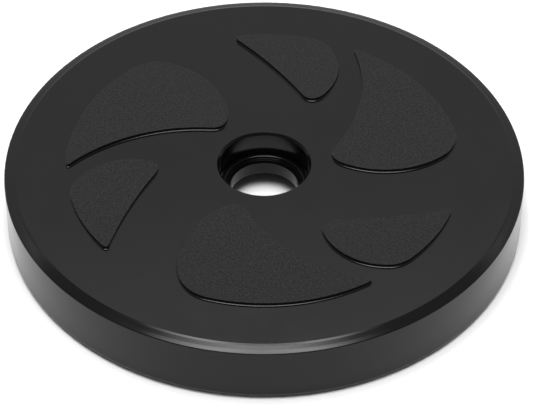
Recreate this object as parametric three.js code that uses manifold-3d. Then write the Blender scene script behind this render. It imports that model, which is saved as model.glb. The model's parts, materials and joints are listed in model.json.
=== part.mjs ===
// Banding wheel: a low turntable for decorating pots. A black head with a deep skirt and six raised
// grip pads turns on a base that is hidden inside the skirt. A ring of balls between two races carries
// the weight, and a thin bearing on the base's hub keeps the head on its axis. The bore goes right
// through. Units are millimetres, +Z is up, and the origin is on the table under the axis.

import * as THREE from 'three';
import { mergeVertices } from 'three/addons/utils/BufferGeometryUtils.js';
import Module from 'manifold-3d';

const wasm = await Module();
wasm.setup();

// ---------------------------------------------------------------- driving dimensions

const HEAD_DIAMETER = 230;
const HEAD_DEPTH = 27.7;             // deck down to the skirt's lower edge
const SKIRT_GAP = 1.3;               // skirt's lower edge above the table
const DECK_THICKNESS = 6;
const SKIRT_THICKNESS = 5;
const RIM_BEVEL_WIDTH = 4.8;         // shallow bevel round the deck's edge
const RIM_BEVEL_DEPTH = 1.4;
const BORE_RADIUS = 20.0;            // recess in the middle of the deck
const BORE_BEVEL_WIDTH = 0.9;        // steep bevel at the recess's upper edge
const BORE_BEVEL_DEPTH = 1.2;
const NUT_DEPTH = 11.4;              // deck down to the hub nut's flange

const BEARING_BORE = 35;             // thin section bearing, 35 x 44 x 5
const BEARING_OUTSIDE = 44;
const BEARING_WIDTH = 5;
const BEARING_BALL_RADIUS = 1.3;
const BEARING_BALLS = 10;

const RACE_INNER_RADIUS = 47.5;
const RACE_OUTER_RADIUS = 62;
const RACE_THICKNESS = 3;
const RACE_GAP = 3;                  // between the two races' faces
const THRUST_PITCH_RADIUS = 57.5;
const THRUST_BALL_RADIUS = 2.5;
const THRUST_BALLS = 12;

const WEB_BOTTOM = 7.6;              // base plate's underside above the table
const WEB_THICKNESS = 3;
const BASE_RADIUS = 88;
const HUB_NUT_BORE_RADIUS = 15.2;
const FOOT_CIRCLE_RADIUS = 74;
const FOOT_COUNT = 4;

const PAD_HEIGHT = 1.5;
const PAD_COUNT = 3;                 // of each size

const SCREWS_PER_RING = 3;
const FIT = 0.05;                    // gap all round between parts that are pressed or screwed together
const HOLE_GAP = 0.12;               // gap all round a screw

// ---------------------------------------------------------------- worked-out levels and radii

const HEAD_RADIUS = HEAD_DIAMETER / 2;
const DECK_TOP = SKIRT_GAP + HEAD_DEPTH;
const DECK_UNDERSIDE = DECK_TOP - DECK_THICKNESS;
const SKIRT_INSIDE = HEAD_RADIUS - SKIRT_THICKNESS;
const WEB_TOP = WEB_BOTTOM + WEB_THICKNESS;
const LOWER_RACE_TOP = WEB_TOP + RACE_THICKNESS;
const UPPER_RACE_BOTTOM = LOWER_RACE_TOP + RACE_GAP;
const UPPER_RACE_TOP = UPPER_RACE_BOTTOM + RACE_THICKNESS;
const THRUST_LEVEL = LOWER_RACE_TOP + RACE_GAP / 2;
const NUT_TOP = DECK_TOP - NUT_DEPTH;
const NUT_FLANGE = 1.5;
const BEARING_TOP = NUT_TOP - NUT_FLANGE;
const BEARING_BOTTOM = BEARING_TOP - BEARING_WIDTH;
const BEARING_LEVEL = BEARING_TOP - BEARING_WIDTH / 2;
const HUB_RADIUS = BEARING_BORE / 2;
const BEARING_RADIUS = BEARING_OUTSIDE / 2;
const BEARING_PITCH_RADIUS = (HUB_RADIUS + BEARING_RADIUS) / 2;
const RING_WALL = 1.45;              // bearing ring, from its seat to its shoulder
const INNER_RING_RADIUS = HUB_RADIUS + RING_WALL;
const OUTER_RING_BORE = BEARING_RADIUS - RING_WALL;
const BOSS_RADIUS = 29;
const CLAMP_THICKNESS = 1.2;

const LARGE_ROUND = 48;              // segments round the head, base and races
const SMALL_ROUND = 48;              // segments round the bearing
const SHIELD_ROUND = 32;
const SCREW_ROUND = 8;

// ---------------------------------------------------------------- geometry helpers

// A closed outline of [radius, height] points, listed anticlockwise, turned round the Z axis.
function turned(outline, segments) {
  const points = outline.map(([radius, height]) => new THREE.Vector2(radius, height));
  points.push(points[0].clone());
  return new THREE.LatheGeometry(points, segments).rotateX(Math.PI / 2);
}

// An outline that starts and ends on the axis, listed from its lower end to its upper one.
function turnedFull(outline, segments) {
  const points = outline.map(([radius, height]) => new THREE.Vector2(radius, height));
  return new THREE.LatheGeometry(points, segments).rotateX(Math.PI / 2);
}

function solidOf(geometry) {
  const bare = geometry.clone();
  bare.deleteAttribute('normal');
  bare.deleteAttribute('uv');
  const merged = mergeVertices(bare, 1e-4);
  const vertProperties = new Float32Array(merged.attributes.position.array);
  const triVerts = keepRealTriangles(merged.index.array);
  return new wasm.Manifold(new wasm.Mesh({ numProp: 3, vertProperties, triVerts }));
}

// Triangles that merging has closed up to a line or a point are dropped.
function keepRealTriangles(index) {
  const kept = [];
  for (let i = 0; i < index.length; i += 3) {
    const [a, b, c] = [index[i], index[i + 1], index[i + 2]];
    if (a !== b && b !== c && c !== a) kept.push(a, b, c);
  }
  return new Uint32Array(kept);
}

function geometryOf(solid) {
  const mesh = solid.getMesh();
  const geometry = new THREE.BufferGeometry();
  geometry.setAttribute('position', new THREE.BufferAttribute(mesh.vertProperties, mesh.numProp));
  geometry.setIndex(new THREE.BufferAttribute(mesh.triVerts, 1));
  geometry.computeVertexNormals();
  return geometry;
}

// Joins the added geometries to the first one, then cuts the removed ones away.
function shaped(geometry, { added = [], removed = [] }) {
  let solid = solidOf(geometry);
  for (const part of added) solid = solid.add(solidOf(part));
  for (const part of removed) solid = solid.subtract(solidOf(part));
  return geometryOf(solid);
}

function aroundAxis(count, startAngle, make) {
  return Array.from({ length: count }, (_, i) => make(startAngle + (i * 2 * Math.PI) / count, i));
}

function polar(radius, angle, height) {
  return new THREE.Vector3(radius * Math.cos(angle), radius * Math.sin(angle), height);
}

// Points along a groove's arc, in [radius, height], from one angle to another.
function groove(radius, height, size, from, to, steps) {
  return Array.from({ length: steps + 1 }, (_, i) => {
    const angle = from + ((to - from) * i) / steps;
    return [radius + size * Math.cos(angle), height + size * Math.sin(angle)];
  });
}

// ---------------------------------------------------------------- materials

const finishes = {
  enamel: { color: 0x0d0d0e, roughness: 0.25, metalness: 0 },
  pad: { color: 0x1c1c1d, roughness: 0.75, metalness: 0 },
  casting: { color: 0x141415, roughness: 0.55, metalness: 0 },
  steel: { color: 0x9a9ea2, roughness: 0.3, metalness: 1 },
  ball: { color: 0xc8ccd0, roughness: 0.08, metalness: 1 },
  brass: { color: 0xb08d45, roughness: 0.35, metalness: 1 },
  zinc: { color: 0xa8acb0, roughness: 0.4, metalness: 1 },
  rubber: { color: 0x18181a, roughness: 0.85, metalness: 0 },
};

const wheel = new THREE.Group();

function addPart(name, geometry, finish, position = null) {
  const mesh = new THREE.Mesh(geometry, new THREE.MeshStandardMaterial(finishes[finish]));
  mesh.name = name;
  if (position) mesh.position.copy(position);
  wheel.add(mesh);
  return mesh;
}

// ---------------------------------------------------------------- screws

// A countersunk screw that points down from the origin, where its head is flush.
const CSK = { headRadius: 2.6, headHeight: 1.3, shankRadius: 1.3, socketRadius: 1.1, socketDepth: 0.9 };

function countersunkScrew(length) {
  return turnedFull([
    [0, -length],
    [CSK.shankRadius, -length],
    [CSK.shankRadius, -CSK.headHeight],
    [CSK.headRadius, 0],
    [CSK.socketRadius, 0],
    [CSK.socketRadius, -CSK.socketDepth],
    [0, -CSK.socketDepth],
  ], SCREW_ROUND);
}

// The hole for it, with a gap all round, which breaks out above the head.
function countersunkHole(length) {
  return turnedFull([
    [0, -length - HOLE_GAP],
    [CSK.shankRadius + HOLE_GAP, -length - HOLE_GAP],
    [CSK.shankRadius + HOLE_GAP, -CSK.headHeight],
    [CSK.headRadius + HOLE_GAP, 0],
    [CSK.headRadius + HOLE_GAP, 2 * HOLE_GAP],
    [0, 2 * HOLE_GAP],
  ], SCREW_ROUND);
}

const SCREW_RECESS = HOLE_GAP;       // head below the surface

const clampScrews = { radius: 25.6, surface: BEARING_BOTTOM - CLAMP_THICKNESS, length: 8, up: true };
const upperRaceScrews = { radius: 51.2, surface: UPPER_RACE_BOTTOM, length: 8, up: true };
const lowerRaceScrews = { radius: 51.2, surface: LOWER_RACE_TOP, length: 5.4, up: false };

// Holes for one set of screws, in place.
function screwHoles({ radius, surface, length, up }) {
  return aroundAxis(SCREWS_PER_RING, Math.PI / 2, (angle) => {
    const hole = countersunkHole(length);
    if (up) hole.rotateX(Math.PI);
    const at = polar(radius, angle, surface + (up ? SCREW_RECESS : -SCREW_RECESS));
    return hole.translate(at.x, at.y, at.z);
  });
}

function addScrews(name, { radius, surface, length, up }) {
  aroundAxis(SCREWS_PER_RING, Math.PI / 2, (angle, i) => {
    const level = surface + (up ? SCREW_RECESS : -SCREW_RECESS);
    const place = polar(radius, angle, level);
    const screw = addPart(`${name}_${i + 1}`, countersunkScrew(length), 'zinc', place);
    if (up) screw.rotation.x = Math.PI;
  });
}

// ---------------------------------------------------------------- head

const HEAD_RIBS = 6;
const RIB_THICKNESS = 3.5;
const INNER_RIB_DEPTH = 3;
const OUTER_RIB_DEPTH = 5.5;
const RIB_OVERLAP = 1;

function headRib(fromRadius, toRadius, lowerEdge, angle) {
  const height = DECK_UNDERSIDE + RIB_OVERLAP - lowerEdge;
  const rib = new THREE.BoxGeometry(toRadius - fromRadius, RIB_THICKNESS, height);
  rib.translate((fromRadius + toRadius) / 2, 0, lowerEdge + height / 2);
  return rib.rotateZ(angle);
}

function wheelHead() {
  const landInner = RACE_INNER_RADIUS - 0.5;
  const landOuter = RACE_OUTER_RADIUS + 0.5;
  const cornerFillet = 3;
  const raceClearance = 0.3;
  const body = turned([
    [BORE_RADIUS, BEARING_TOP],
    [BEARING_RADIUS, BEARING_TOP],
    [BEARING_RADIUS, BEARING_BOTTOM],
    [BOSS_RADIUS, BEARING_BOTTOM],
    [BOSS_RADIUS, DECK_UNDERSIDE],
    [landInner, DECK_UNDERSIDE],
    [landInner, UPPER_RACE_TOP],
    [landOuter, UPPER_RACE_TOP],
    [landOuter, DECK_UNDERSIDE],
    [SKIRT_INSIDE - cornerFillet, DECK_UNDERSIDE],
    [SKIRT_INSIDE, DECK_UNDERSIDE - cornerFillet],
    [SKIRT_INSIDE, SKIRT_GAP],
    [HEAD_RADIUS, SKIRT_GAP],
    [HEAD_RADIUS, DECK_TOP - RIM_BEVEL_DEPTH],
    [HEAD_RADIUS - RIM_BEVEL_WIDTH, DECK_TOP],
    [BORE_RADIUS + BORE_BEVEL_WIDTH, DECK_TOP],
    [BORE_RADIUS, DECK_TOP - BORE_BEVEL_DEPTH],
  ], LARGE_ROUND);
  const innerRibs = aroundAxis(HEAD_RIBS, 0, (angle) => (
    headRib(BOSS_RADIUS - RIB_OVERLAP, landInner + RIB_OVERLAP, DECK_UNDERSIDE - INNER_RIB_DEPTH, angle)
  ));
  const outerRibs = aroundAxis(HEAD_RIBS, 0, (angle) => (
    headRib(landOuter - raceClearance, SKIRT_INSIDE + RIB_OVERLAP, DECK_UNDERSIDE - OUTER_RIB_DEPTH, angle)
  ));
  return shaped(body, {
    added: [...innerRibs, ...outerRibs],
    removed: [...screwHoles(clampScrews), ...screwHoles(upperRaceScrews)],
  });
}

// ---------------------------------------------------------------- grip pads

// Each pad has three sides, all arcs, and three rounded corners. A corner holds its place, how far back
// along each side its rounding starts, and how far the side that leaves it bows to the left.
const LARGE_PAD = [
  { x: 46.4, y: -74.2, rounding: 2.8, bow: 10.2 },
  { x: -33.3, y: -81.1, rounding: 8.9, bow: 13.2 },
  { x: -10.2, y: -25.5, rounding: 8.1, bow: -9.5 },
];
const SMALL_PAD = [
  { x: -14.7, y: 86.1, rounding: 4.0, bow: 2.9 },
  { x: 26.4, y: 83.3, rounding: 4.9, bow: 10.5 },
  { x: 20.5, y: 39.4, rounding: 7.6, bow: -2.1 },
];
const PAD_SIDE_STEPS = 5;
const PAD_CORNER_STEPS = 3;

// The arc from one corner to the next, less the stretch that each corner's rounding takes.
function padSide(from, to) {
  const chord = new THREE.Vector2(to.x - from.x, to.y - from.y);
  const half = chord.length() / 2;
  const radius = (half * half + from.bow * from.bow) / (2 * Math.abs(from.bow));
  const outward = new THREE.Vector2(-chord.y, chord.x).normalize().multiplyScalar(-Math.sign(from.bow));
  const middle = new THREE.Vector2((from.x + to.x) / 2, (from.y + to.y) / 2);
  const centre = middle.addScaledVector(outward, radius - Math.abs(from.bow));
  const start = Math.atan2(from.y - centre.y, from.x - centre.x);
  const sweep = 2 * Math.asin(half / radius) * -Math.sign(from.bow);
  const first = start + (sweep * from.rounding) / (radius * Math.abs(sweep));
  const last = start + sweep - (sweep * to.rounding) / (radius * Math.abs(sweep));
  return { centre, radius, first, last };
}

function padOutline(corners) {
  const sides = corners.map((corner, i) => padSide(corner, corners[(i + 1) % corners.length]));
  const points = [];
  const onSide = ({ centre, radius }, angle) => new THREE.Vector2(
    centre.x + radius * Math.cos(angle),
    centre.y + radius * Math.sin(angle),
  );
  sides.forEach((side, i) => {
    for (let step = 0; step < PAD_SIDE_STEPS; step += 1) {
      points.push(onSide(side, side.first + ((side.last - side.first) * step) / PAD_SIDE_STEPS));
    }
    const next = sides[(i + 1) % sides.length];
    const corner = corners[(i + 1) % corners.length];
    const round = new THREE.QuadraticBezierCurve(
      onSide(side, side.last),
      new THREE.Vector2(corner.x, corner.y),
      onSide(next, next.first),
    );
    points.push(...round.getPoints(PAD_CORNER_STEPS).slice(0, PAD_CORNER_STEPS));
  });
  return points;
}

function gripPad(corners) {
  const shape = new THREE.Shape(padOutline(corners));
  return new THREE.ExtrudeGeometry(shape, { depth: PAD_HEIGHT, bevelEnabled: false });
}

function addPads(name, corners) {
  aroundAxis(PAD_COUNT, 0, (angle, i) => {
    const pad = addPart(`${name}_${i + 1}`, gripPad(corners), 'pad', new THREE.Vector3(0, 0, DECK_TOP));
    pad.rotation.z = angle;
  });
}

// ---------------------------------------------------------------- thrust bearing

const THRUST_GROOVE = THRUST_BALL_RADIUS + 0.3;
const THRUST_CAGE_THICKNESS = 1.2;
const THRUST_CAGE_HALF_WIDTH = 4;
const POCKET_ROUND = 12;

function lowerRace() {
  const openAngle = Math.asin(RACE_GAP / 2 / THRUST_GROOVE);
  return shaped(turned([
    [RACE_INNER_RADIUS, WEB_TOP],
    [RACE_OUTER_RADIUS, WEB_TOP],
    [RACE_OUTER_RADIUS, LOWER_RACE_TOP],
    ...groove(THRUST_PITCH_RADIUS, THRUST_LEVEL, THRUST_GROOVE, -openAngle, openAngle - Math.PI, 4),
    [RACE_INNER_RADIUS, LOWER_RACE_TOP],
  ], LARGE_ROUND), { removed: screwHoles(lowerRaceScrews) });
}

function upperRace() {
  const openAngle = Math.asin(RACE_GAP / 2 / THRUST_GROOVE);
  return shaped(turned([
    [RACE_INNER_RADIUS, UPPER_RACE_BOTTOM],
    ...groove(THRUST_PITCH_RADIUS, THRUST_LEVEL, THRUST_GROOVE, Math.PI - openAngle, openAngle, 4),
    [RACE_OUTER_RADIUS, UPPER_RACE_BOTTOM],
    [RACE_OUTER_RADIUS, UPPER_RACE_TOP],
    [RACE_INNER_RADIUS, UPPER_RACE_TOP],
  ], LARGE_ROUND), { removed: screwHoles(upperRaceScrews) });
}

// Round holes through a cage, one for each ball, upright or pointing away from the axis.
function pockets(count, pitchRadius, level, size, upright) {
  const depth = 4 * size;
  return aroundAxis(count, 0, (angle) => {
    const pocket = new THREE.CylinderGeometry(size, size, depth, POCKET_ROUND);
    const at = polar(pitchRadius, angle, level);
    if (upright) pocket.rotateX(Math.PI / 2);
    else pocket.rotateZ(Math.PI / 2).rotateZ(angle);
    return pocket.translate(at.x, at.y, at.z);
  });
}

function thrustCage() {
  const low = THRUST_LEVEL - THRUST_CAGE_THICKNESS / 2;
  const high = THRUST_LEVEL + THRUST_CAGE_THICKNESS / 2;
  const ring = turned([
    [THRUST_PITCH_RADIUS - THRUST_CAGE_HALF_WIDTH, low],
    [THRUST_PITCH_RADIUS + THRUST_CAGE_HALF_WIDTH, low],
    [THRUST_PITCH_RADIUS + THRUST_CAGE_HALF_WIDTH, high],
    [THRUST_PITCH_RADIUS - THRUST_CAGE_HALF_WIDTH, high],
  ], LARGE_ROUND);
  const pocketSize = THRUST_BALL_RADIUS + 0.2;
  const removed = pockets(THRUST_BALLS, THRUST_PITCH_RADIUS, THRUST_LEVEL, pocketSize, true);
  return shaped(ring, { removed });
}

function addBalls(name, count, pitchRadius, level, size) {
  aroundAxis(count, 0, (angle, i) => {
    const ball = new THREE.SphereGeometry(size, 8, 6);
    addPart(`${name}_${i + 1}`, ball, 'ball', polar(pitchRadius, angle, level));
  });
}

// ---------------------------------------------------------------- hub bearing

const BEARING_GROOVE = BEARING_BALL_RADIUS + 0.2;
const SHIELD_THICKNESS = 0.2;
const SHIELD_INSET = 0.1;

function bearingInnerRing() {
  const openAngle = Math.acos((BEARING_PITCH_RADIUS - INNER_RING_RADIUS) / BEARING_GROOVE);
  return turned([
    [HUB_RADIUS + FIT, BEARING_BOTTOM],
    [INNER_RING_RADIUS, BEARING_BOTTOM],
    ...groove(
      BEARING_PITCH_RADIUS, BEARING_LEVEL, BEARING_GROOVE, Math.PI + openAngle, Math.PI - openAngle, 3,
    ),
    [INNER_RING_RADIUS, BEARING_TOP],
    [HUB_RADIUS + FIT, BEARING_TOP],
  ], SMALL_ROUND);
}

function bearingOuterRing() {
  const openAngle = Math.acos((OUTER_RING_BORE - BEARING_PITCH_RADIUS) / BEARING_GROOVE);
  return turned([
    [OUTER_RING_BORE, BEARING_BOTTOM],
    [BEARING_RADIUS - FIT, BEARING_BOTTOM],
    [BEARING_RADIUS - FIT, BEARING_TOP],
    [OUTER_RING_BORE, BEARING_TOP],
    ...groove(BEARING_PITCH_RADIUS, BEARING_LEVEL, BEARING_GROOVE, openAngle, -openAngle, 3),
  ], SMALL_ROUND);
}

function bearingShield(level) {
  const inner = INNER_RING_RADIUS + 0.2;
  const outer = OUTER_RING_BORE - FIT;
  return turned([
    [inner, level],
    [outer, level],
    [outer, level + SHIELD_THICKNESS],
    [inner, level + SHIELD_THICKNESS],
  ], SHIELD_ROUND);
}

function bearingCage() {
  const halfHeight = 1.8;
  const halfWidth = 0.4;
  const ring = turned([
    [BEARING_PITCH_RADIUS - halfWidth, BEARING_LEVEL - halfHeight],
    [BEARING_PITCH_RADIUS + halfWidth, BEARING_LEVEL - halfHeight],
    [BEARING_PITCH_RADIUS + halfWidth, BEARING_LEVEL + halfHeight],
    [BEARING_PITCH_RADIUS - halfWidth, BEARING_LEVEL + halfHeight],
  ], SMALL_ROUND);
  const pocketSize = BEARING_BALL_RADIUS + 0.2;
  return shaped(ring, {
    removed: pockets(BEARING_BALLS, BEARING_PITCH_RADIUS, BEARING_LEVEL, pocketSize, false),
  });
}

// Screwed up under the head's boss, it keeps the bearing's outer ring in its seat.
function bearingClampRing() {
  const low = BEARING_BOTTOM - CLAMP_THICKNESS;
  const overlap = OUTER_RING_BORE + 0.1;
  return shaped(turned([
    [overlap, low],
    [BOSS_RADIUS, low],
    [BOSS_RADIUS, BEARING_BOTTOM],
    [overlap, BEARING_BOTTOM],
  ], LARGE_ROUND), { removed: screwHoles(clampScrews) });
}

// ---------------------------------------------------------------- base

const TUBE_BORE = 16.1;
const NUT_SLEEVE_RADIUS = TUBE_BORE - FIT;
const FOOT_TOP_RADIUS = 9;
const FOOT_SOLE_RADIUS = 8;
const FOOT_SCREW = { headRadius: 3.6, headHeight: 1.8, shankRadius: 1.9, length: 6, level: 4.5 };
const BASE_RIBS = 8;
const FOOT_ROUND = 12;

function baseRib(angle) {
  const from = BOSS_RADIUS + 1;
  const to = BASE_RADIUS - 3;
  const lowerEdge = 5;
  const height = WEB_BOTTOM + 1 - lowerEdge;
  const rib = new THREE.BoxGeometry(to - from, RIB_THICKNESS, height);
  rib.translate((from + to) / 2, 0, lowerEdge + height / 2);
  return rib.rotateZ(angle);
}

function footPlace(angle, height) {
  return polar(FOOT_CIRCLE_RADIUS, angle, height);
}

function basePlate() {
  const rimThickness = 4;
  const rimBottom = 4;
  const pocketRadius = BOSS_RADIUS + 2;
  const pocketFloor = WEB_TOP - 1.1;
  const mouthBevel = 1.5;
  const body = turned([
    [TUBE_BORE, WEB_BOTTOM + mouthBevel],
    [TUBE_BORE + mouthBevel, WEB_BOTTOM],
    [BASE_RADIUS - rimThickness, WEB_BOTTOM],
    [BASE_RADIUS - rimThickness, rimBottom],
    [BASE_RADIUS, rimBottom],
    [BASE_RADIUS, WEB_TOP],
    [pocketRadius, WEB_TOP],
    [pocketRadius, pocketFloor],
    [INNER_RING_RADIUS, pocketFloor],
    [INNER_RING_RADIUS, BEARING_BOTTOM],
    [HUB_RADIUS, BEARING_BOTTOM],
    [HUB_RADIUS, BEARING_TOP - 0.1],
    [TUBE_BORE, BEARING_TOP - 0.1],
  ], LARGE_ROUND);
  const ribs = aroundAxis(BASE_RIBS, Math.PI / BASE_RIBS, baseRib);
  const footHoles = aroundAxis(FOOT_COUNT, Math.PI / FOOT_COUNT, (angle) => {
    const at = footPlace(angle, WEB_BOTTOM + WEB_THICKNESS / 2);
    const hole = new THREE.CylinderGeometry(
      FOOT_SCREW.shankRadius + HOLE_GAP, FOOT_SCREW.shankRadius + HOLE_GAP, 2 * WEB_THICKNESS, SCREW_ROUND,
    );
    return hole.rotateX(Math.PI / 2).translate(at.x, at.y, at.z);
  });
  return shaped(body, { added: ribs, removed: [...footHoles, ...screwHoles(lowerRaceScrews)] });
}

// A flanged sleeve that screws down into the hub tube and holds the bearing's inner ring.
function hubNut() {
  const recessFloor = NUT_TOP - 1.1;
  const recessRadius = 17.2;
  const countersink = 1;
  const edge = 0.3;
  const flangeRadius = BORE_RADIUS - 0.4;
  const relief = 0.4;
  const sleeveLift = 1.8;
  const sleeveEnd = WEB_BOTTOM + sleeveLift;
  return turned([
    [HUB_NUT_BORE_RADIUS, sleeveEnd],
    [NUT_SLEEVE_RADIUS, sleeveEnd],
    [NUT_SLEEVE_RADIUS, BEARING_TOP],
    [INNER_RING_RADIUS, BEARING_TOP],
    [INNER_RING_RADIUS, BEARING_TOP + relief],
    [flangeRadius, BEARING_TOP + relief],
    [flangeRadius, NUT_TOP - edge],
    [flangeRadius - edge, NUT_TOP],
    [recessRadius + edge, NUT_TOP],
    [recessRadius, NUT_TOP - edge],
    [recessRadius, recessFloor],
    [HUB_NUT_BORE_RADIUS + countersink, recessFloor],
    [HUB_NUT_BORE_RADIUS, recessFloor - countersink],
  ], LARGE_ROUND);
}

// A rubber foot with a stepped hole for its screw.
function foot() {
  const { headRadius, shankRadius, level } = FOOT_SCREW;
  return turned([
    [headRadius + 0.6, 0],
    [FOOT_SOLE_RADIUS - 0.8, 0],
    [FOOT_SOLE_RADIUS, 0.8],
    [FOOT_TOP_RADIUS, WEB_BOTTOM],
    [shankRadius + HOLE_GAP, WEB_BOTTOM],
    [shankRadius + HOLE_GAP, level],
    [headRadius + 0.6, level],
  ], FOOT_ROUND);
}

// A pan head screw that points up, with its head's seat at the origin.
function footScrew() {
  const { headRadius, headHeight, shankRadius, length } = FOOT_SCREW;
  const socketRadius = 1.5;
  const socketDepth = 1.1;
  return turnedFull([
    [0, socketDepth - headHeight],
    [socketRadius, socketDepth - headHeight],
    [socketRadius, -headHeight],
    [headRadius - 0.6, -headHeight],
    [headRadius, -headHeight / 2],
    [headRadius, 0],
    [shankRadius, 0],
    [shankRadius, length],
    [0, length],
  ], SCREW_ROUND);
}

function addFeet() {
  aroundAxis(FOOT_COUNT, Math.PI / FOOT_COUNT, (angle, i) => {
    addPart(`foot_${i + 1}`, foot(), 'rubber', footPlace(angle, 0));
    addPart(`foot_screw_${i + 1}`, footScrew(), 'zinc', footPlace(angle, FOOT_SCREW.level - HOLE_GAP));
  });
}

// ---------------------------------------------------------------- assembly

addPart('wheel_head', wheelHead(), 'enamel');
addPads('grip_pad_large', LARGE_PAD);
addPads('grip_pad_small', SMALL_PAD);
addPart('upper_race', upperRace(), 'steel');
addScrews('upper_race_screw', upperRaceScrews);
addPart('bearing_outer_ring', bearingOuterRing(), 'steel');
addPart('bearing_upper_shield', bearingShield(BEARING_TOP - SHIELD_INSET - SHIELD_THICKNESS), 'zinc');
addPart('bearing_lower_shield', bearingShield(BEARING_BOTTOM + SHIELD_INSET), 'zinc');
addPart('bearing_clamp_ring', bearingClampRing(), 'steel');
addScrews('clamp_screw', clampScrews);

addPart('thrust_cage', thrustCage(), 'brass');
addBalls('thrust_ball', THRUST_BALLS, THRUST_PITCH_RADIUS, THRUST_LEVEL, THRUST_BALL_RADIUS);
addPart('bearing_cage', bearingCage(), 'brass');
addBalls('bearing_ball', BEARING_BALLS, BEARING_PITCH_RADIUS, BEARING_LEVEL, BEARING_BALL_RADIUS);

addPart('base_plate', basePlate(), 'casting');
addPart('hub_nut', hubNut(), 'enamel');
addPart('bearing_inner_ring', bearingInnerRing(), 'steel');
addPart('lower_race', lowerRace(), 'steel');
addScrews('lower_race_screw', lowerRaceScrews);
addFeet();

export default wheel;
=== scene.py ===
"""Banding wheel: the finished look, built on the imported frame. Metres, +Z up."""

import json
import math

import bmesh
import bpy
from mathutils import Matrix, Vector


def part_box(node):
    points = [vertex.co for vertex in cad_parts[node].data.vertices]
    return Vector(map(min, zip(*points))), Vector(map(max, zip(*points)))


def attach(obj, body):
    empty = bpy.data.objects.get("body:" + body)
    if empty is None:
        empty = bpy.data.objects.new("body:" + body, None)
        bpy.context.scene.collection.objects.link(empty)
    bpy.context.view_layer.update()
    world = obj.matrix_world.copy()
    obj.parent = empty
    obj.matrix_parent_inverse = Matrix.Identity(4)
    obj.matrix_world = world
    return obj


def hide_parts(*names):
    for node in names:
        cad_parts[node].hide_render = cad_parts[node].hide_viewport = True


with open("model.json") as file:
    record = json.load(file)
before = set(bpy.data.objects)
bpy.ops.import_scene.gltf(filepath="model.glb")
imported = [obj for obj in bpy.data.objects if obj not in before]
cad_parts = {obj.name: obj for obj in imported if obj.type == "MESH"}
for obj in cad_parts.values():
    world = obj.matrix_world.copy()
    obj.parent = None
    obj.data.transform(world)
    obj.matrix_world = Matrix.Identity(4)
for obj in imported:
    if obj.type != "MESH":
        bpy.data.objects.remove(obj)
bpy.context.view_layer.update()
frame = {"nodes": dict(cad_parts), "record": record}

MM = 0.001


# ---------------------------------------------------------------- sizes, from the frame

def low(node):
    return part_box(node)[0]


def high(node):
    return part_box(node)[1]


HEAD_RADIUS = high("wheel_head").x
SKIRT_BOTTOM = low("wheel_head").z
DECK_TOP = high("wheel_head").z
PAD_TOP = high("grip_pad_large_1").z
SLEEVE_END = low("hub_nut").z
NUT_TOP = high("hub_nut").z
NUT_RADIUS = high("hub_nut").x
BEARING_TOP = high("bearing_outer_ring").z
BEARING_BOTTOM = low("bearing_outer_ring").z
BEARING_RADIUS = high("bearing_outer_ring").x
RACE_TOP = high("upper_race").z
RACE_RADIUS = high("upper_race").x
CLAMP_RADIUS = high("bearing_clamp_ring").x
INNER_RING_RADIUS = high("bearing_inner_ring").x
BASE_RADIUS = high("base_plate").x
WEB_BOTTOM = high("foot_1").z

# Sizes that the boxes don't give.
NUT_CLEARANCE = 0.4 * MM             # between the nut's flange and the bore
BORE_RADIUS = NUT_RADIUS + NUT_CLEARANCE
BORE_BEVEL_WIDTH = 0.9 * MM
BORE_BEVEL_DEPTH = 1.2 * MM
RIM_BEVEL_WIDTH = 4.8 * MM
DECK_THICKNESS = 6 * MM
SKIRT_THICKNESS = 5 * MM
RACE_INNER_RADIUS = 47.5 * MM
NUT_BORE_RADIUS = 15.2 * MM
NUT_RECESS_RADIUS = 17.2 * MM
NUT_RECESS_DEPTH = 1.1 * MM
NUT_COUNTERSINK = 0.6 * MM           # its width; it is twice as deep
SLEEVE_RADIUS = 16.05 * MM
TUBE_BORE = 16.1 * MM
HUB_RADIUS = 17.5 * MM
WEB_THICKNESS = 3 * MM
WEB_TOP = WEB_BOTTOM + WEB_THICKNESS
BASE_RIM_BOTTOM = 4 * MM
BASE_RIM_THICKNESS = 4 * MM
NUT_FACE_GAP = 0.4 * MM              # between the nut's flange and the bearing's outer parts
FOOT_CIRCLE = 74 * MM
FOOT_COUNT = 4

ROUND = 256                          # facets round a large turned piece
SHARP_ANGLE = math.radians(40)


# ---------------------------------------------------------------- camera

# Distance, height angle and lens are those of a long lens looking down on the wheel's front.
CAMERA_DISTANCE = 1.1952
CAMERA_ELEVATION = math.radians(43.44)
CAMERA_LENS = 179.4                  # millimetres
SENSOR_WIDTH = 36
FARTHEST_SEEN = 200
AIM_RIGHT = 1.02 * MM
AIM_UP = 1.96 * MM


def add_camera():
    back = Vector((0, -math.cos(CAMERA_ELEVATION), math.sin(CAMERA_ELEVATION)))
    up = Vector((0, math.sin(CAMERA_ELEVATION), math.cos(CAMERA_ELEVATION)))
    centre = Vector((0, 0, SKIRT_BOTTOM))
    aim = centre + Vector((AIM_RIGHT, 0, 0)) + up * AIM_UP
    place = centre + back * CAMERA_DISTANCE
    data = bpy.data.cameras.new("camera")
    data.lens = CAMERA_LENS
    data.sensor_width = SENSOR_WIDTH
    data.clip_end = FARTHEST_SEEN
    camera = bpy.data.objects.new("camera", data)
    camera.location = place
    camera.rotation_euler = (aim - place).to_track_quat("-Z", "Y").to_euler()
    bpy.context.scene.collection.objects.link(camera)
    bpy.context.scene.camera = camera


# ---------------------------------------------------------------- light and floor

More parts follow.
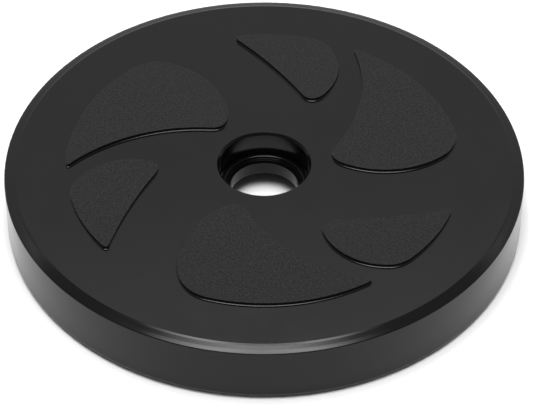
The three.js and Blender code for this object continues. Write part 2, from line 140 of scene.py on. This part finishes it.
# Radiance is 1 for white paper in full light. The panel's half sizes and all heights and edges are
# sines of angles seen from the wheel.
PANEL_LEAN = 6                       # degrees from straight up towards the camera
PANEL_SHIFT = -0.025
PANEL_HALF_WIDTH = 0.30
PANEL_HALF_LENGTH = 0.40
PANEL_EDGE = (0.7, 1.2)              # where it fades out, in half sizes
PANEL_ABOVE = (0.2, 0.4)             # keeps its mirror image out of the ground
PANEL_RADIANCE = 14.8
PANEL_CENTRE = 0.3                   # how much of its light the panel keeps straight overhead
PANEL_CENTRE_EDGE = (0.981, 0.997)
BACKDROP_LOW = 0.62                  # near the ground
BACKDROP_MIDDLE = 0.40
BACKDROP_HIGH = 0.58
BACKDROP_BAND = 1.50                 # added near its upper edge
LOW_TO_MIDDLE = (0.15, 0.38)
MIDDLE_TO_HIGH = (0.42, 0.60)
BAND_START = (0.695, 0.735)
BACKDROP_UPPER_EDGE = (0.735, 0.775)
BACKDROP_SIDES = (0.1, 0.7)
ROOM_RADIANCE = 0.34
ROOM_FRONT = 0.20
ROOM_FRONT_TO_BACK = (-0.6, 0.1)
FLOOR_HALF_SIZE = 80


def add_light():
    """A studio as a surround: one big soft panel over the wheel, a bright backdrop and a dim room."""
    world = bpy.data.worlds.new("studio")
    world.use_nodes = True
    tree = world.node_tree
    direction = tree.nodes.new("ShaderNodeTexCoord").outputs["Generated"]

    def math_node(operation, first, second=0):
        node = tree.nodes.new("ShaderNodeMath")
        node.operation = operation
        for socket, value in zip(node.inputs, (first, second)):
            if isinstance(value, (int, float)):
                socket.default_value = value
            else:
                tree.links.new(value, socket)
        return node.outputs["Value"]

    def along(axis):
        node = tree.nodes.new("ShaderNodeVectorMath")
        node.operation = "DOT_PRODUCT"
        node.inputs[1].default_value = axis
        tree.links.new(direction, node.inputs[0])
        return node.outputs["Value"]

    def smooth(value, edges, before, after):
        node = tree.nodes.new("ShaderNodeMapRange")
        node.interpolation_type = "SMOOTHSTEP"
        for key, number in zip(("From Min", "From Max", "To Min", "To Max"), (*edges, before, after)):
            node.inputs[key].default_value = number
        tree.links.new(value, node.inputs["Value"])
        return node.outputs["Result"]

    height = along((0, 0, 1))
    away = along((0, 1, 0))
    lean = math.radians(PANEL_LEAN)
    across = math_node("DIVIDE", math_node("SUBTRACT", along((1, 0, 0)), PANEL_SHIFT), PANEL_HALF_WIDTH)
    back = math_node("DIVIDE", along((0, math.cos(lean), math.sin(lean))), PANEL_HALF_LENGTH)
    reach = math_node("SQRT", math_node("ADD", math_node("MULTIPLY", across, across),
                                        math_node("MULTIPLY", back, back)))
    above = smooth(height, PANEL_ABOVE, 0, 1)
    overhead = smooth(height, PANEL_CENTRE_EDGE, 1, PANEL_CENTRE)
    panel = math_node("MULTIPLY", smooth(reach, PANEL_EDGE, PANEL_RADIANCE, 0),
                      math_node("MULTIPLY", above, overhead))
    upper_edge = smooth(height, BACKDROP_UPPER_EDGE, 1, 0)
    sides = smooth(away, BACKDROP_SIDES, 0, 1)
    lower = math_node("ADD", smooth(height, LOW_TO_MIDDLE, BACKDROP_LOW, BACKDROP_MIDDLE),
                      smooth(height, MIDDLE_TO_HIGH, 0, BACKDROP_HIGH - BACKDROP_MIDDLE))
    whole = math_node("ADD", lower, smooth(height, BAND_START, 0, BACKDROP_BAND))
    backdrop = math_node("MULTIPLY", math_node("MULTIPLY", upper_edge, sides), whole)
    room = smooth(away, ROOM_FRONT_TO_BACK, ROOM_FRONT, ROOM_RADIANCE)
    total = math_node("ADD", math_node("ADD", panel, backdrop), room)
    tree.links.new(total, tree.nodes["Background"].inputs["Strength"])
    tree.nodes["Background"].inputs["Color"].default_value = (1, 1, 1, 1)
    bpy.context.scene.world = world


def add_floor():
    mesh = bpy.data.meshes.new("floor")
    form = bmesh.new()
    bmesh.ops.create_grid(form, x_segments=1, y_segments=1, size=FLOOR_HALF_SIZE)
    form.to_mesh(mesh)
    form.free()
    floor = bpy.data.objects.new("floor", mesh)
    bpy.context.scene.collection.objects.link(floor)
    mesh.materials.append(floor_material())


# ---------------------------------------------------------------- material helpers

class Shader:
    """A material under construction, with short calls for the nodes used here."""

    def __init__(self, name):
        self.material = bpy.data.materials.new(name)
        self.material.use_nodes = True
        self.tree = self.material.node_tree
        self.surface = self.tree.nodes["Principled BSDF"]
        self.place = self.tree.nodes.new("ShaderNodeTexCoord").outputs["Object"]

    def node(self, kind, values=None, links=None, **settings):
        node = self.tree.nodes.new(kind)
        for key, value in settings.items():
            setattr(node, key, value)
        for key, value in (values or {}).items():
            node.inputs[key].default_value = value
        for key, source in (links or {}).items():
            self.tree.links.new(source, node.inputs[key])
        return node

    def noise(self, scale, detail=3, roughness=0.5):
        return self.node(
            "ShaderNodeTexNoise",
            {"Scale": scale, "Detail": detail, "Roughness": roughness},
            {"Vector": self.place},
        ).outputs["Fac"]

    def spread(self, source, least, most, from_least=0.3, from_most=0.7):
        return self.node(
            "ShaderNodeMapRange",
            {"From Min": from_least, "From Max": from_most, "To Min": least, "To Max": most},
            {"Value": source},
        ).outputs["Result"]

    def mix(self, factor, dark, light):
        ramp = self.node("ShaderNodeMix", data_type="RGBA")
        ramp.inputs["A"].default_value = (*dark, 1)
        ramp.inputs["B"].default_value = (*light, 1)
        self.tree.links.new(factor, ramp.inputs["Factor"])
        return ramp.outputs["Result"]

    def bump(self, height, depth):
        node = self.node("ShaderNodeBump", {"Strength": 1.0, "Distance": depth}, {"Height": height})
        return node.outputs["Normal"]

    def finish(self, links, values):
        for key, source in links.items():
            self.tree.links.new(source, self.surface.inputs[key])
        for key, value in values.items():
            self.surface.inputs[key].default_value = value
        return self.material


# ---------------------------------------------------------------- materials

def floor_material():
    """Plain, almost even white."""
    shader = Shader("floor_white")
    tone = shader.mix(shader.spread(shader.noise(3), 0, 1), (0.75, 0.75, 0.75), (0.77, 0.77, 0.77))
    return shader.finish({"Base Color": tone}, {"Roughness": 0.9, "Specular IOR Level": 0.1})


def enamel_material(name="black_enamel", shade=0.0018, roughness=0.15, ior=1.31):
    """Gloss black enamel with a faint orange peel and slightly uneven gloss."""
    shader = Shader(name)
    cloud = shader.noise(18, 4)
    fine = shader.noise(900, 2)
    colour = shader.mix(shader.spread(cloud, 0, 1), (shade,) * 3, (shade * 1.5, shade * 1.5, shade * 1.6))
    gloss = shader.spread(shader.noise(60, 5), roughness * 0.85, roughness * 1.15)
    peel = shader.bump(fine, 0.004 * MM)
    return shader.finish(
        {"Base Color": colour, "Roughness": gloss, "Normal": peel},
        {"IOR": ior},
    )


def pad_material():
    """Dark rubber with a fine moulded grain."""
    shader = Shader("pad_rubber")
    grain = shader.noise(1250, 3, 0.6)
    coarse = shader.noise(420, 2, 0.6)
    colour = shader.mix(shader.spread(grain, 0, 1, 0.38, 0.66), (0.005,) * 3, (0.0165, 0.0165, 0.017))
    gloss = shader.spread(coarse, 0.28, 0.40)
    normal = shader.bump(grain, 0.08 * MM)
    return shader.finish({"Base Color": colour, "Roughness": gloss, "Normal": normal}, {"IOR": 1.24})


def metal_material(name, colour, roughness, depth=0.003):
    """Bare metal with slightly uneven tone and gloss; the bump's depth is in millimetres."""
    shader = Shader(name)
    dark = tuple(channel * 0.86 for channel in colour)
    tone = shader.mix(shader.spread(shader.noise(40, 4), 0, 1), dark, colour)
    gloss = shader.spread(shader.noise(120, 5), roughness * 0.75, roughness * 1.3)
    normal = shader.bump(shader.noise(400, 3), depth * MM)
    return shader.finish({"Base Color": tone, "Roughness": gloss, "Normal": normal}, {"Metallic": 1.0})


def casting_material():
    """Black painted casting with a fine sandy surface."""
    shader = Shader("satin_casting")
    rough = shader.noise(350, 5, 0.6)
    tone = shader.mix(shader.spread(shader.noise(30, 4), 0, 1), (0.004,) * 3, (0.010,) * 3)
    gloss = shader.spread(rough, 0.4, 0.62)
    normal = shader.bump(rough, 0.12 * MM)
    return shader.finish({"Base Color": tone, "Roughness": gloss, "Normal": normal}, {"IOR": 1.5})


def rubber_material():
    """Matt dark rubber."""
    shader = Shader("foot_rubber")
    tone = shader.mix(shader.spread(shader.noise(90, 4), 0, 1), (0.012,) * 3, (0.024,) * 3)
    gloss = shader.spread(shader.noise(300, 3), 0.65, 0.85)
    normal = shader.bump(shader.noise(700, 2), 0.03 * MM)
    return shader.finish({"Base Color": tone, "Roughness": gloss, "Normal": normal}, {"IOR": 1.5})


# ---------------------------------------------------------------- mesh helpers

def rounded(corners, steps=5):
    """The outline through these (x, y, rounding) corners, with each corner turned into an arc."""
    outline = []
    for i, (x, y, rounding) in enumerate(corners):
        here = Vector((x, y))
        if rounding == 0:
            outline.append(here)
            continue
        back = (Vector(corners[i - 1][:2]) - here).normalized()
        on = (Vector(corners[(i + 1) % len(corners)][:2]) - here).normalized()
        half = back.angle(on) / 2
        centre = here + (back + on).normalized() * (rounding / math.sin(half))
        start = here + back * (rounding / math.tan(half)) - centre
        end = here + on * (rounding / math.tan(half)) - centre
        sweep = start.angle_signed(end) * -1
        first = math.atan2(start.y, start.x)
        for step in range(steps + 1):
            angle = first + sweep * step / steps
            outline.append(centre + Vector((math.cos(angle), math.sin(angle))) * rounding)
    return outline


def new_piece(name, form, material, body, node):
    """Makes the bmesh a smooth-shaded piece that rides on a body and stands for a CAD node."""
    bmesh.ops.recalc_face_normals(form, faces=form.faces)
    mesh = bpy.data.meshes.new(name)
    form.to_mesh(mesh)
    form.free()
    mesh.shade_smooth()
    mesh.set_sharp_from_angle(angle=SHARP_ANGLE)
    piece = bpy.data.objects.new(name, mesh)
    bpy.context.scene.collection.objects.link(piece)
    mesh.materials.append(material)
    normals = piece.modifiers.new("weighted", "WEIGHTED_NORMAL")
    normals.keep_sharp = True
    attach(piece, body)
    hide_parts(node)
    return piece


def turned(outline, segments=ROUND):
    """A bmesh made by turning a closed outline of (radius, height) points round the Z axis."""
    form = bmesh.new()
    rings = []
    for radius, height in outline:
        ring = []
        for i in range(segments):
            angle = 2 * math.pi * i / segments
            ring.append(form.verts.new((radius * math.cos(angle), radius * math.sin(angle), height)))
        rings.append(ring)
    for inner, outer in zip(rings, rings[1:] + rings[:1]):
        for i in range(segments):
            j = (i + 1) % segments
            form.faces.new((inner[i], inner[j], outer[j], outer[i]))
    return form


# ---------------------------------------------------------------- head

RIB_THICKNESS = 3.5 * MM
RIB_ROUNDING = 0.8 * MM
RIB_DRAFT = 0.8                      # how wide its edge is, as a share of its root
RIB_STEPS = 4


def rib(form, start, end, lower_edge, upper_edge, thickness, angle, run_out=0):
    """A straight rib between two radii, with drafted sides, a rounded edge and perhaps a sloped start."""
    rounding = RIB_ROUNDING
    half = thickness / 2
    slim = half * RIB_DRAFT
    places = [(start, lower_edge), (end, lower_edge)]
    if run_out:
        places = [(start, upper_edge - rounding), (start + run_out, lower_edge), (end, lower_edge)]
    rings = []
    for radius, level in places:
        section = [(half, upper_edge)]
        for step in range(RIB_STEPS + 1):
            turn = math.pi / 2 * step / RIB_STEPS
            section.append((slim - rounding + rounding * math.cos(turn),
                            level + rounding - rounding * math.sin(turn)))
        section += [(-across, height) for across, height in reversed(section)]
        rings.append([form.verts.new((radius, *point)) for point in section])
    count = len(rings[0])
    for near, far in zip(rings, rings[1:]):
        for i in range(count):
            j = (i + 1) % count
            form.faces.new((near[i], near[j], far[j], far[i]))
    form.faces.new(rings[0])
    form.faces.new(rings[-1])
    verts = [vert for ring in rings for vert in ring]
    bmesh.ops.rotate(form, verts=verts, matrix=Matrix.Rotation(angle, 3, "Z"))


HEAD_RIBS = 6
RIB_OVERLAP = 1 * MM
INNER_RIB_DEPTH = 3 * MM
OUTER_RIB_DEPTH = 5.5 * MM
LAND_MARGIN = 0.5 * MM               # how far the race's land stands out past the race
LAND_TOUCH = 0.3 * MM                # how far the outer ribs reach into the land
BEARING_CLEARANCE = 0.05 * MM
FILLET = 1.5 * MM
SOFT_EDGE = 0.4 * MM
SKIRT_FILLET = 3 * MM
SKIRT_INNER_ROUNDING = 1.0 * MM
SKIRT_OUTER_ROUNDING = 2.2 * MM

# The rim's bevel as three faint facets: how wide each is and how far it drops, inner one first.
RIM_FACETS = [(0.9 * MM, 0.31 * MM), (2.0 * MM, 0.52 * MM), (1.9 * MM, 0.57 * MM)]
RIM_RIDGE = 0.12 * MM                # rounding between them
RIM_CORNER = 0.6 * MM                # rounding down to the skirt

NUT_EDGE = 0.7 * MM


def build_head():
    """Deck, skirt and boss in one turned casting, with ribs below and beads round the pads."""
    deck_underside = DECK_TOP - DECK_THICKNESS
    inside = HEAD_RADIUS - SKIRT_THICKNESS
    land_in = RACE_INNER_RADIUS - LAND_MARGIN
    land_out = RACE_RADIUS + LAND_MARGIN
    seat = BEARING_RADIUS + BEARING_CLEARANCE
    rim = [(HEAD_RADIUS - RIM_BEVEL_WIDTH, DECK_TOP, RIM_RIDGE)]
    for width, drop in RIM_FACETS:
        radius, level, _ = rim[-1]
        rim.append((radius + width, level - drop, RIM_RIDGE))
    rim[-1] = (*rim[-1][:2], RIM_CORNER)
    outline = rounded([
        (BORE_RADIUS, BEARING_TOP, 0),
        (seat, BEARING_TOP, 0),
        (seat, BEARING_BOTTOM, 0),
        (CLAMP_RADIUS, BEARING_BOTTOM, SOFT_EDGE),
        (CLAMP_RADIUS, deck_underside, FILLET),
        (land_in, deck_underside, FILLET),
        (land_in, RACE_TOP, SOFT_EDGE),
        (land_out, RACE_TOP, SOFT_EDGE),
        (land_out, deck_underside, FILLET),
        (inside, deck_underside, SKIRT_FILLET),
        (inside, SKIRT_BOTTOM, SKIRT_INNER_ROUNDING),
        (HEAD_RADIUS, SKIRT_BOTTOM, SKIRT_OUTER_ROUNDING),
        *reversed(rim),
        (BORE_RADIUS + BORE_BEVEL_WIDTH, DECK_TOP, 0.08 * MM),
        (BORE_RADIUS, DECK_TOP - BORE_BEVEL_DEPTH, 0.2 * MM),
    ])
    form = turned(outline)
    for i in range(HEAD_RIBS):
        angle = 2 * math.pi * i / HEAD_RIBS
        rib(form, CLAMP_RADIUS - RIB_OVERLAP, land_in + RIB_OVERLAP, deck_underside - INNER_RIB_DEPTH,
            deck_underside + RIB_OVERLAP, RIB_THICKNESS, angle)
        rib(form, land_out - LAND_TOUCH, inside + RIB_OVERLAP, deck_underside - OUTER_RIB_DEPTH,
            deck_underside + RIB_OVERLAP, RIB_THICKNESS, angle)
    for i in range(PAD_COUNT):
        pad_bead(form, LARGE_PAD, 2 * math.pi * i / PAD_COUNT)
        pad_bead(form, SMALL_PAD, 2 * math.pi * i / PAD_COUNT)
    return new_piece("head_casting", form, ENAMEL, "head", "wheel_head")


def build_nut():
    """The flanged sleeve that clamps the bearing's inner ring to the base."""
    floor = NUT_TOP - NUT_RECESS_DEPTH
    outline = rounded([
        (NUT_BORE_RADIUS, SLEEVE_END, 0.05 * MM),
        (SLEEVE_RADIUS, SLEEVE_END, 0.2 * MM),
        (SLEEVE_RADIUS, BEARING_TOP, 0),
        (INNER_RING_RADIUS, BEARING_TOP, 0),
        (INNER_RING_RADIUS, BEARING_TOP + NUT_FACE_GAP, 0),
        (NUT_RADIUS, BEARING_TOP + NUT_FACE_GAP, 0),
        (NUT_RADIUS, NUT_TOP, NUT_EDGE),
        (NUT_RECESS_RADIUS, NUT_TOP, NUT_EDGE),
        (NUT_RECESS_RADIUS, floor, 0.1 * MM),
        (NUT_BORE_RADIUS + NUT_COUNTERSINK, floor, 0.05 * MM),
        (NUT_BORE_RADIUS, floor - 2 * NUT_COUNTERSINK, 0.1 * MM),
    ])
    return new_piece("nut_turned", turned(outline), NUT, "base", "hub_nut")


# ---------------------------------------------------------------- grip pads

# Corners of each pad: x, y, how far back along the sides the rounding starts, and how far the side
# that leaves the corner bows out, in millimetres.
LARGE_PAD = [(46.4, -74.2, 2.8, 10.2), (-33.3, -81.1, 8.9, 13.2), (-10.2, -25.5, 8.1, -9.5)]
SMALL_PAD = [(-14.7, 86.1, 4.0, 2.9), (26.4, 83.3, 4.9, 10.5), (20.5, 39.4, 7.6, -2.1)]
PAD_COUNT = 3
PAD_SIDE_STEPS = 28
PAD_CORNER_STEPS = 12
PAD_EDGE = 0.12 * MM
PAD_EDGE_STEPS = 5
BEAD = 0.7 * MM
BEAD_STEPS = 8
BEAD_UNDER_PAD = 0.15 * MM
BEAD_UNDER_DECK = 0.1 * MM


def pad_side(start, end):
    """A function that gives points along one side's arc, less what its rounded corners take."""
    bow = start[3]
    near = Vector(start[:2])
    far = Vector(end[:2])
    half = (far - near).length / 2
    radius = (half * half + bow * bow) / (2 * abs(bow))
    across = Vector((near.y - far.y, far.x - near.x)).normalized() * -math.copysign(1, bow)
    centre = (near + far) / 2 + across * (radius - abs(bow))
    first = math.atan2(near.y - centre.y, near.x - centre.x)
    sweep = 2 * math.asin(half / radius) * -math.copysign(1, bow)
    turn = math.copysign(1, sweep) / radius
    first_kept = first + start[2] * turn
    last_kept = first + sweep - end[2] * turn

    def at(share):
        angle = first_kept + (last_kept - first_kept) * share
        return centre + Vector((math.cos(angle), math.sin(angle))) * radius

    return at


def pad_outline(corners):
    """The pad's outline in metres: three arcs joined by rounded corners."""
    sides = [pad_side(corners[i], corners[(i + 1) % 3]) for i in range(3)]
    points = []
    for i, side in enumerate(sides):
        points += [side(step / PAD_SIDE_STEPS) for step in range(PAD_SIDE_STEPS)]
        start = side(1)
        corner = Vector(corners[(i + 1) % 3][:2])
        end = sides[(i + 1) % 3](0)
        for step in range(PAD_CORNER_STEPS):
            share = step / PAD_CORNER_STEPS
            rest = 1 - share
            points.append(start * rest ** 2 + corner * 2 * share * rest + end * share * share)
    return [point * MM for point in points]


def inset(outline, distance):
    """The outline moved inwards by a distance, which is smaller than its tightest bend."""
    moved = []
    for i, here in enumerate(outline):
        along = (outline[(i + 1) % len(outline)] - outline[i - 1]).normalized()
        moved.append(here + Vector((along.y, -along.x)) * distance)
    return moved


def wrapped(form, outline, levels, closed=False):
    """Bands of faces round an outline, through (how far in, how high) pairs from the deck up."""
    rings = []
    for distance, level in levels:
        points = inset(outline, distance) if distance else outline
        rings.append([form.verts.new((point.x, point.y, DECK_TOP + level)) for point in points])
    count = len(outline)
    pairs = zip(rings, rings[1:] + rings[:1]) if closed else zip(rings, rings[1:])
    for lower, upper in pairs:
        for i in range(count):
            j = (i + 1) % count
            form.faces.new((lower[i], lower[j], upper[j], upper[i]))
    return rings


def pad_bead(form, corners, angle):
    """The hollow bead of enamel that runs from the deck up a pad's wall."""
    levels = []
    for step in range(BEAD_STEPS + 1):
        turn = math.pi / 2 * step / BEAD_STEPS
        levels.append((-BEAD * (1 - math.sin(turn)), BEAD * (1 - math.cos(turn))))
    levels += [(BEAD_UNDER_PAD, BEAD), (BEAD_UNDER_PAD, -BEAD_UNDER_DECK), (-BEAD, -BEAD_UNDER_DECK)]
    rings = wrapped(form, pad_outline(corners), levels, closed=True)
    verts = [vert for ring in rings for vert in ring]
    bmesh.ops.rotate(form, verts=verts, matrix=Matrix.Rotation(angle, 3, "Z"))


def build_pad(name, node, corners, angle):
    """A low raised pad: a wall with a soft top edge round a flat, grained top."""
    height = PAD_TOP - DECK_TOP
    levels = [(0.0, 0.0)]
    for step in range(PAD_EDGE_STEPS + 1):
        turn = math.pi / 2 * step / PAD_EDGE_STEPS
        levels.append((PAD_EDGE * (1 - math.cos(turn)), height - PAD_EDGE + PAD_EDGE * math.sin(turn)))
    form = bmesh.new()
    rings = wrapped(form, pad_outline(corners), levels)
    form.faces.new(rings[0])
    form.faces.new(rings[-1])
    bmesh.ops.rotate(form, verts=form.verts, matrix=Matrix.Rotation(angle, 3, "Z"))
    return new_piece(name, form, PAD, "head", node)


def build_pads():
    for i in range(PAD_COUNT):
        angle = 2 * math.pi * i / PAD_COUNT
        build_pad(f"large_pad_{i + 1}", f"grip_pad_large_{i + 1}", LARGE_PAD, angle)
        build_pad(f"small_pad_{i + 1}", f"grip_pad_small_{i + 1}", SMALL_PAD, angle)


# ---------------------------------------------------------------- base and feet

BASE_RIBS = 8
BASE_RIB_START = 27 * MM
BASE_RIB_RUN_OUT = 6 * MM
BASE_RIB_EDGE = 5 * MM               # height of its lower edge
POCKET_MARGIN = 2 * MM
POCKET_DEPTH = 1.1 * MM
TUBE_GAP = 0.1 * MM                  # below the nut's flange
FOOT_TOP_RADIUS = 9 * MM
FOOT_SOLE_RADIUS = 8 * MM
FOOT_HOLE_RADIUS = 4.2 * MM
FOOT_SEAT = 4.5 * MM
SCREW_HOLE_RADIUS = 2.02 * MM
SCREW_HEAD_RADIUS = 3.6 * MM
SCREW_HEAD_HEIGHT = 1.8 * MM
SCREW_RADIUS = 1.9 * MM
SCREW_LENGTH = 6 * MM
SCREW_FACETS = 48
SOCKET_RADIUS = 1.45 * MM
SOCKET_DEPTH = 1.1 * MM
SOCKET_EDGE = 0.1 * MM
THREAD_PITCH = 0.5 * MM
THREAD_DEPTH = 0.25 * MM
TIP_TAPER = 0.4 * MM
NEAR_AXIS = 0.02 * MM                # radius at which turned ends stop short of the axis
FOOT_CHAMFER = 0.8 * MM
FOOT_FACETS = 96


def build_base():
    """Web, rim and hub tube in one turned casting, with ribs below."""
    pocket_radius = CLAMP_RADIUS + POCKET_MARGIN
    pocket_floor = WEB_TOP - POCKET_DEPTH
    rim_inside = BASE_RADIUS - BASE_RIM_THICKNESS
    tube_top = BEARING_TOP - TUBE_GAP
    form = turned(rounded([
        (TUBE_BORE, WEB_BOTTOM, 1.4 * MM),
        (rim_inside, WEB_BOTTOM, 2.0 * MM),
        (rim_inside, BASE_RIM_BOTTOM, 0.8 * MM),
        (BASE_RADIUS, BASE_RIM_BOTTOM, 0.8 * MM),
        (BASE_RADIUS, WEB_TOP, 1.0 * MM),
        (pocket_radius, WEB_TOP, 0.2 * MM),
        (pocket_radius, pocket_floor, 0.2 * MM),
        (INNER_RING_RADIUS, pocket_floor, 0.2 * MM),
        (INNER_RING_RADIUS, BEARING_BOTTOM, 0),
        (HUB_RADIUS, BEARING_BOTTOM, 0),
        (HUB_RADIUS, tube_top, 0.2 * MM),
        (TUBE_BORE, tube_top, 0.1 * MM),
    ]))
    for i in range(BASE_RIBS):
        angle = 2 * math.pi * (i + 0.5) / BASE_RIBS
        rib(form, BASE_RIB_START, rim_inside + RIB_OVERLAP, BASE_RIB_EDGE, WEB_BOTTOM + RIB_OVERLAP,
            RIB_THICKNESS, angle, BASE_RIB_RUN_OUT)
    return new_piece("base_casting", form, CASTING, "base", "base_plate")


def build_feet():
    """Rubber feet under the web, each with its screw."""
    for i in range(FOOT_COUNT):
        angle = 2 * math.pi * (i + 0.5) / FOOT_COUNT
        place = Vector((math.cos(angle), math.sin(angle), 0)) * FOOT_CIRCLE
        foot = turned(rounded([
            (FOOT_HOLE_RADIUS, 0, 0.4 * MM),
            (FOOT_SOLE_RADIUS - FOOT_CHAMFER, 0, 0.5 * MM),
            (FOOT_SOLE_RADIUS, FOOT_CHAMFER, 0.5 * MM),
            (FOOT_TOP_RADIUS, WEB_BOTTOM, 0),
            (SCREW_HOLE_RADIUS, WEB_BOTTOM, 0),
            (SCREW_HOLE_RADIUS, FOOT_SEAT, 0),
            (FOOT_HOLE_RADIUS, FOOT_SEAT, 0.2 * MM),
        ]), FOOT_FACETS)
        bmesh.ops.translate(foot, verts=foot.verts, vec=place)
        new_piece(f"rubber_foot_{i + 1}", foot, RUBBER, "base", f"foot_{i + 1}")
        seat = low(f"foot_screw_{i + 1}").z + SCREW_HEAD_HEIGHT
        screw = pan_head_screw(seat)
        bmesh.ops.translate(screw, verts=screw.verts, vec=place)
        new_piece(f"foot_screw_turned_{i + 1}", screw, ZINC, "base", f"foot_screw_{i + 1}")


def pan_head_screw(seat):
    """A screw that points up, with a domed head below its seat, a hexagonal socket and thread rings."""
    face = seat - SCREW_HEAD_HEIGHT
    outline = rounded([
        (NEAR_AXIS, face + SOCKET_DEPTH, 0),
        (SOCKET_RADIUS, face + SOCKET_DEPTH, 0),
        (SOCKET_RADIUS, face, SOCKET_EDGE),
        (SCREW_HEAD_RADIUS - 0.5 * MM, face, 0.4 * MM),
        (SCREW_HEAD_RADIUS, seat - 0.9 * MM, 0.5 * MM),
        (SCREW_HEAD_RADIUS, seat, 0.1 * MM),
        (SCREW_RADIUS, seat, 0.1 * MM),
    ])
    turns = int((SCREW_LENGTH - THREAD_PITCH) / THREAD_PITCH)
    for i in range(turns):
        outline.append(Vector((SCREW_RADIUS - THREAD_DEPTH, seat + (i + 0.5) * THREAD_PITCH)))
        outline.append(Vector((SCREW_RADIUS, seat + (i + 1) * THREAD_PITCH)))
    outline.append(Vector((SCREW_RADIUS - TIP_TAPER, seat + SCREW_LENGTH)))
    outline.append(Vector((NEAR_AXIS, seat + SCREW_LENGTH)))
    form = turned(outline, SCREW_FACETS)
    for vert in form.verts:
        radius = math.hypot(vert.co.x, vert.co.y)
        in_head = vert.co.z < face + SOCKET_DEPTH + SOCKET_EDGE
        if in_head and abs(radius - SOCKET_RADIUS) < 1.2 * SOCKET_EDGE:
            sector = (math.atan2(vert.co.y, vert.co.x) % (math.pi / 3)) - math.pi / 6
            flat = math.cos(math.pi / 6) / math.cos(sector)
            vert.co.x *= flat
            vert.co.y *= flat
    return form


# ---------------------------------------------------------------- balls

BALL_SUBDIVISIONS = 4
BALL_SETS = [("thrust_ball_", "thrust_cage_set"), ("bearing_ball_", "hub_cage_set")]


def build_balls():
    """Round balls that stand for the frame's coarser ones."""
    for kind, body in BALL_SETS:
        for node in sorted(name for name in frame["nodes"] if name.startswith(kind)):
            form = bmesh.new()
            radius = (high(node).z - low(node).z) / 2
            bmesh.ops.create_icosphere(form, subdivisions=BALL_SUBDIVISIONS, radius=radius)
            bmesh.ops.translate(form, verts=form.verts, vec=(low(node) + high(node)) / 2)
            new_piece(f"round_{node}", form, BALL, body, node)


# ---------------------------------------------------------------- the CAD nodes that stay

def finish_nodes():
    """Gives each CAD node the material of its slot."""
    by_slot = {
        "enamel": ENAMEL,
        "pad": PAD,
        "casting": CASTING,
        "nut": NUT,
        "steel": STEEL,
        "ball": BALL,
        "cage": BRASS,
        "zinc": ZINC,
        "foot": RUBBER,
    }
    for part in frame["record"]["subparts"]:
        node = frame["nodes"][part["node"]]
        node.data.materials.clear()
        node.data.materials.append(by_slot[part["material_slot"]])


# ---------------------------------------------------------------- the whole scene

ENAMEL = enamel_material()
NUT = enamel_material("nut_enamel", 0.0012, 0.14, 1.255)
PAD = pad_material()
CASTING = casting_material()
STEEL = metal_material("ground_steel", (0.55, 0.56, 0.57), 0.28)
BALL = metal_material("polished_steel", (0.75, 0.76, 0.77), 0.07, depth=0.001)
BRASS = metal_material("cage_brass", (0.62, 0.45, 0.19), 0.33)
ZINC = metal_material("zinc_plate", (0.60, 0.61, 0.63), 0.30)
RUBBER = rubber_material()

bpy.context.scene.view_settings.view_transform = "Standard"
add_camera()
add_light()
add_floor()
finish_nodes()
build_head()
build_nut()
build_pads()
build_base()
build_feet()
build_balls()
